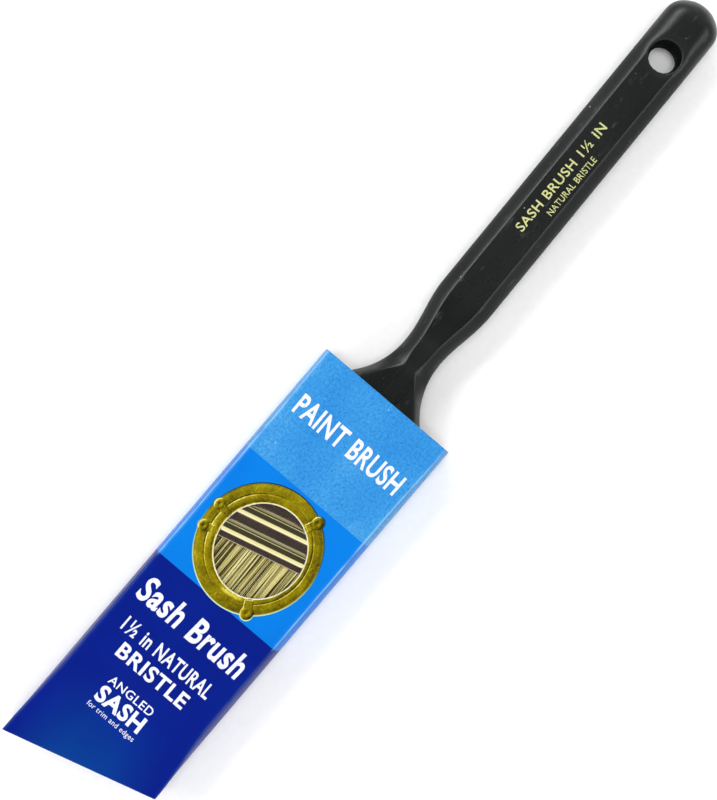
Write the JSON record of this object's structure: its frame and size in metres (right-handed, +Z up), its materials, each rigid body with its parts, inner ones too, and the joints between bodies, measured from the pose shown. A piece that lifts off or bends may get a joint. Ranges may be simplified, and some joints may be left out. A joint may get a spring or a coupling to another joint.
{
  "type": "paint brush",
  "caption": "Angled sash paint brush with a bevelled moulded handle, plated ferrule and natural bristle, lying in a slide-off printed card keeper sleeve with a round window.",
  "frame": {"origin": "on the surface the object lies on, under the middle of its overall box; the sleeve's back lies on that surface", "axes": "+X along the brush towards the hanging end of the handle, +Y towards the long (toe) side of the bristle, +Z up through the brush's thickness, out of the face with the window"},
  "size_m": [0.2616, 0.0444, 0.0154],
  "materials": {
    "handle_plastic": "satin",
    "ferrule_metal": "gloss",
    "resin": "gloss",
    "plug_wood": "matte",
    "bristle": "satin",
    "nail_metal": "gloss",
    "sleeve_print": "gloss",
    "sleeve_bare_card": "matte"
  },
  "bodies": {
    "brush": {"handle": "handle_plastic", "ferrule": "ferrule_metal", "epoxy_set": "resin", "spacer_plug": "plug_wood", "bristle_bank_front": "bristle", "bristle_bank_back": "bristle", "nail_front_toe": "nail_metal", "nail_front_heel": "nail_metal", "nail_back_toe": "nail_metal", "nail_back_heel": "nail_metal"},
    "sleeve": {"sleeve_front_panel": "sleeve_print", "sleeve_back_panel": "sleeve_print", "sleeve_toe_side": "sleeve_print", "sleeve_heel_side": "sleeve_print", "sleeve_seam_flap": "sleeve_bare_card", "sleeve_end_panel": "sleeve_print", "sleeve_tuck_tongue": "sleeve_bare_card", "sleeve_dust_flap_toe": "sleeve_bare_card", "sleeve_dust_flap_heel": "sleeve_bare_card"}
  },
  "joints": [
    {"name": "sleeve_slide", "type": "slide", "parent": "brush", "child": "sleeve", "axis": [-0.9998, 0.0187, 0], "range_m": [-0.012, 0.12]}
  ]
}
